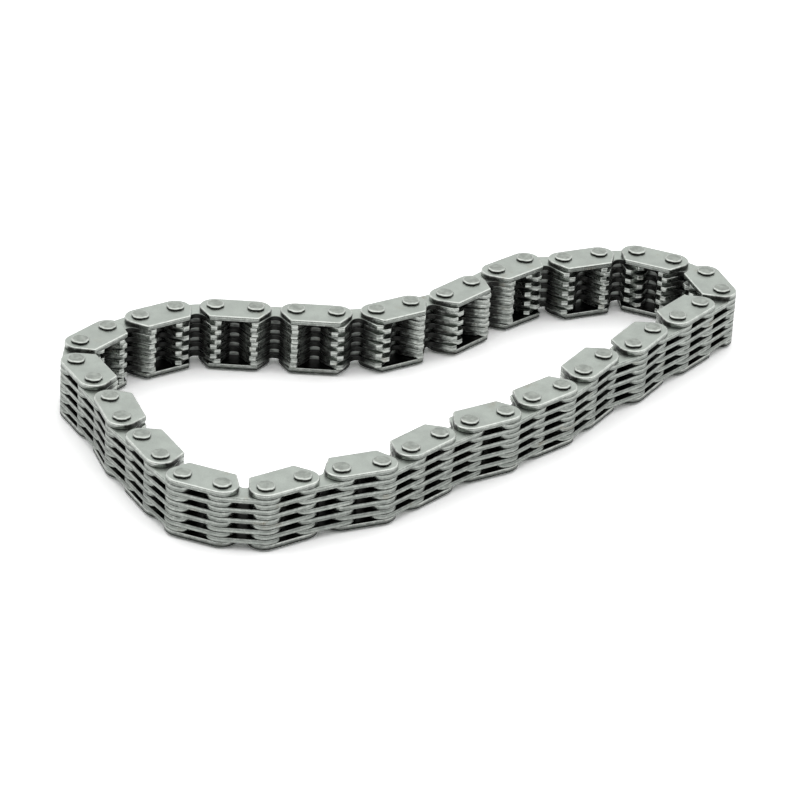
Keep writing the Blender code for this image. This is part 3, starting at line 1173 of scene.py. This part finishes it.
class CHAIN_OT_studio(bpy.types.Operator):
    """Build the floor, the light and the camera"""

    bl_idname = "chain.studio"
    bl_label = "Studio"

    def execute(self, context):
        studio = settings("studio")
        scene = context.scene
        scene.view_settings.view_transform = "Standard"
        room_light()
        bm = bmesh.new()
        bmesh.ops.create_grid(bm, x_segments=4, y_segments=4, size=8.0)
        floor = bpy.data.objects.new("floor", finished_mesh(bm, "floor"))
        floor.data.materials.append(floor_material())
        scene.collection.objects.link(floor)
        lamp_data = bpy.data.lights.new("overhead_lamp", "AREA")
        lamp_data.energy = studio.lamp_power
        lamp_data.size = studio.lamp_size
        lamp = bpy.data.objects.new("overhead_lamp", lamp_data)
        lamp.location = (0.0, 0.0, studio.lamp_height)
        scene.collection.objects.link(lamp)
        camera_data = bpy.data.cameras.new("camera")
        camera_data.lens = studio.camera_lens
        camera_data.sensor_width = 36.0
        camera_data.clip_start = 0.01
        camera_data.clip_end = 100.0
        camera = bpy.data.objects.new("camera", camera_data)
        right, up, back = camera_axes()
        aim = PIN_PLACES[0] + Vector(studio.aim_across)
        place = Vector((aim.x, aim.y, CHAIN_TOP)) + back * studio.camera_distance
        turn = Matrix((right, up, back)).transposed().to_4x4()
        camera.matrix_world = Matrix.Translation(place) @ turn
        scene.collection.objects.link(camera)
        scene.camera = camera
        return {"FINISHED"}


class CHAIN_PT_panel(bpy.types.Panel):
    """Settings and steps of the chain"""

    bl_idname = "CHAIN_PT_panel"
    bl_label = "Silent timing chain"
    bl_space_type = "VIEW_3D"
    bl_region_type = "UI"
    bl_category = "Chain"

    def draw(self, context):
        for kind, group in SETTINGS.items():
            box = self.layout.box()
            box.label(text=kind.title())
            for label in group.__annotations__:
                box.prop(settings(kind), label)
        for operator in OPERATORS:
            self.layout.operator(operator.bl_idname)


SETTINGS = {
    "plates": ChainPlateSettings,
    "pins": ChainPinSettings,
    "finish": ChainFinishSettings,
    "studio": ChainStudioSettings,
}
OPERATORS = (
    CHAIN_OT_studio,
    CHAIN_OT_guide_plates,
    CHAIN_OT_toothed_plates,
    CHAIN_OT_pins,
)


def register():
    """Make the settings, steps and panel known to Blender."""
    for kind, group in SETTINGS.items():
        bpy.utils.register_class(group)
        setattr(bpy.types.Scene, f"chain_{kind}", PointerProperty(type=group))
    for operator in OPERATORS:
        bpy.utils.register_class(operator)
    bpy.utils.register_class(CHAIN_PT_panel)


def unregister():
    """Take them back."""
    bpy.utils.unregister_class(CHAIN_PT_panel)
    for operator in reversed(OPERATORS):
        bpy.utils.unregister_class(operator)
    for kind, group in reversed(SETTINGS.items()):
        delattr(bpy.types.Scene, f"chain_{kind}")
        bpy.utils.unregister_class(group)


def main():
    """Build everything in order."""
    register()
    bpy.ops.chain.studio()
    bpy.ops.chain.guide_plates()
    bpy.ops.chain.toothed_plates()
    bpy.ops.chain.pins()


if __name__ == "__main__":
    main()
